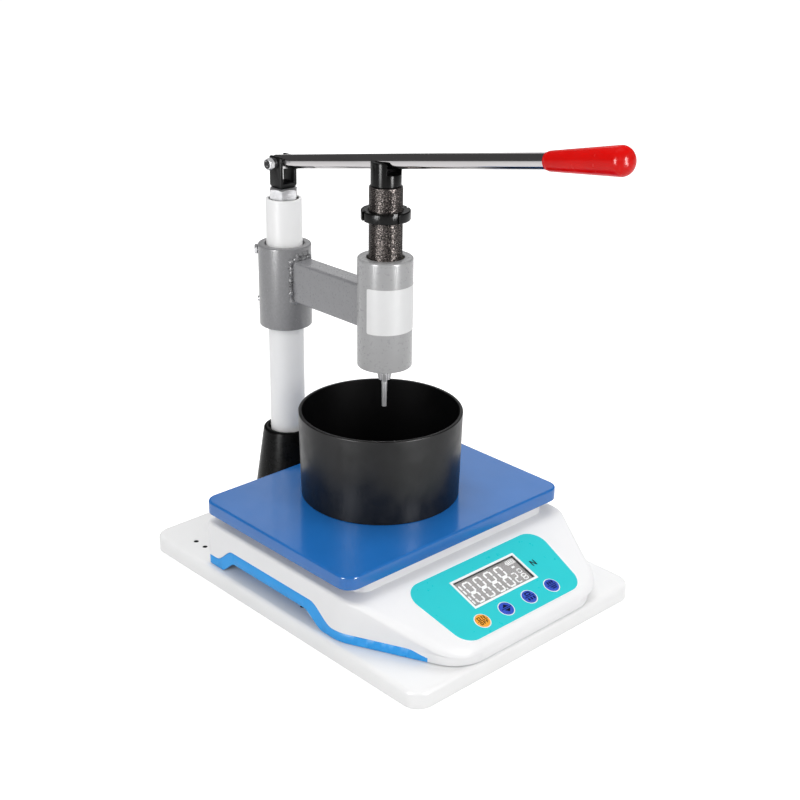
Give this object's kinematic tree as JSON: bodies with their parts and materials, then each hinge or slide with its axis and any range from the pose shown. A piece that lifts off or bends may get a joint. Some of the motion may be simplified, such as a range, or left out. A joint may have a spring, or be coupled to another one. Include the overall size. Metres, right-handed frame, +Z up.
{
  "type": "cement setting time tester",
  "caption": "Bench tester: a hand lever on a post presses a sliding needle into a cup on an electronic scale, which shows the force of penetration.",
  "frame": {"origin": "centre of the base plate's underside, on the face of the channel that the plate stands on", "axes": "+X to the right seen from the scale's keys, +Y to the back towards the post, +Z up"},
  "size_m": [0.272, 0.4337, 0.4432],
  "materials": {
    "white_paint": "satin white paint",
    "black_gloss": "glossy black",
    "zinc_steel": "zinc plated",
    "black_steel": "blackened",
    "grey_paint": "grey hammer paint",
    "bush_brass": "plain",
    "red_grip": "glossy red",
    "spindle_steel": "dark, threaded",
    "bright_steel": "polished",
    "case_white": "fine texture",
    "trim_blue": "smooth light blue",
    "overlay_teal": "printed foil",
    "window_clear": "clear",
    "display_grey": "grey display",
    "board_green": "circuit board",
    "black_plastic": "plain",
    "light_alloy": "plain",
    "black_rubber": "plain",
    "tray_blue": "glossy blue paint",
    "key_orange": "printed key",
    "key_blue": "printed key",
    "cup_black": "satin black"
  },
  "bodies": {
    "stand": {"base_plate": "white_paint", "base_stiffener": "white_paint", "post_socket": "black_gloss", "post_socket_screws": "zinc_steel", "post_tube": "white_paint", "post_plug": "zinc_steel", "lock_nut": "zinc_steel", "clevis": "black_steel", "pivot_bolt": "zinc_steel", "pivot_washers": "zinc_steel", "pivot_nut": "zinc_steel", "post_collar": "grey_paint", "arm": "grey_paint", "spindle_sleeve": "grey_paint", "collar_screws": "zinc_steel", "spindle_bushes": "bush_brass", "scale_upper_case": "case_white", "scale_lower_case": "case_white", "trim_left": "trim_blue", "trim_right": "trim_blue", "panel_overlay": "overlay_teal", "lcd_window": "window_clear", "lcd_module": "display_grey", "main_board": "board_green", "board_screws": "zinc_steel", "key_switches": "black_plastic", "load_cell": "light_alloy", "load_cell_screws": "zinc_steel", "spider": "light_alloy", "tray_pads": "black_rubber", "battery": "black_plastic", "charge_jack": "black_plastic", "scale_feet": "black_rubber", "case_screws": "zinc_steel"},
    "lever": {"lever_bar": "black_steel", "handle_grip": "red_grip"},
    "spindle": {"spindle": "spindle_steel", "fork_pin": "bright_steel", "chuck_body": "black_steel", "chuck_jaws": "spindle_steel", "needle": "bright_steel"},
    "stop_nut": {"stop_nut": "black_steel"},
    "tray": {"tray": "tray_blue"},
    "container": {"container": "cup_black"},
    "key_power": {"key_power": "key_orange"},
    "key_left": {"key_left": "key_blue"},
    "key_middle": {"key_middle": "key_blue"},
    "key_right": {"key_right": "key_blue"}
  },
  "joints": [
    {"name": "lever_pivot", "type": "hinge", "parent": "stand", "child": "lever", "pos_m": [0, 0.1436, 0.3652], "axis": [1, 0, 0], "range_deg": [0, 13.4]},
    {"name": "spindle_slide", "type": "slide", "parent": "stand", "child": "spindle", "axis": [0, 0, -1], "range_m": [0, 0.033]},
    {"name": "stop_nut_turn", "type": "hinge", "parent": "spindle", "child": "stop_nut", "pos_m": [0, 0.0048, 0.344], "axis": [0, 0, 1], "continuous": true},
    {"name": "tray_lift", "type": "slide", "parent": "stand", "child": "tray", "axis": [0, 0, 1], "range_m": [0, 0.025]},
    {"name": "container_shift", "type": "slide", "parent": "tray", "child": "container", "axis": [1, 0, 0], "range_m": [-0.045, 0.045]},
    {"name": "key_power_press", "type": "slide", "parent": "stand", "child": "key_power", "axis": [0, 0.3305, -0.9438], "range_m": [0, 0.0005], "stiffness_N_per_m": 2000, "springref_m": -0.0005},
    {"name": "key_left_press", "type": "slide", "parent": "stand", "child": "key_left", "axis": [0, 0.3305, -0.9438], "range_m": [0, 0.0005], "stiffness_N_per_m": 2000, "springref_m": -0.0005},
    {"name": "key_middle_press", "type": "slide", "parent": "stand", "child": "key_middle", "axis": [0, 0.3305, -0.9438], "range_m": [0, 0.0005], "stiffness_N_per_m": 2000, "springref_m": -0.0005},
    {"name": "key_right_press", "type": "slide", "parent": "stand", "child": "key_right", "axis": [0, 0.3305, -0.9438], "range_m": [0, 0.0005], "stiffness_N_per_m": 2000, "springref_m": -0.0005}
  ],
  "couplings": [
    {"joint": "spindle_slide", "follows": "lever_pivot", "m_per_rad": 0.1402}
  ]
}
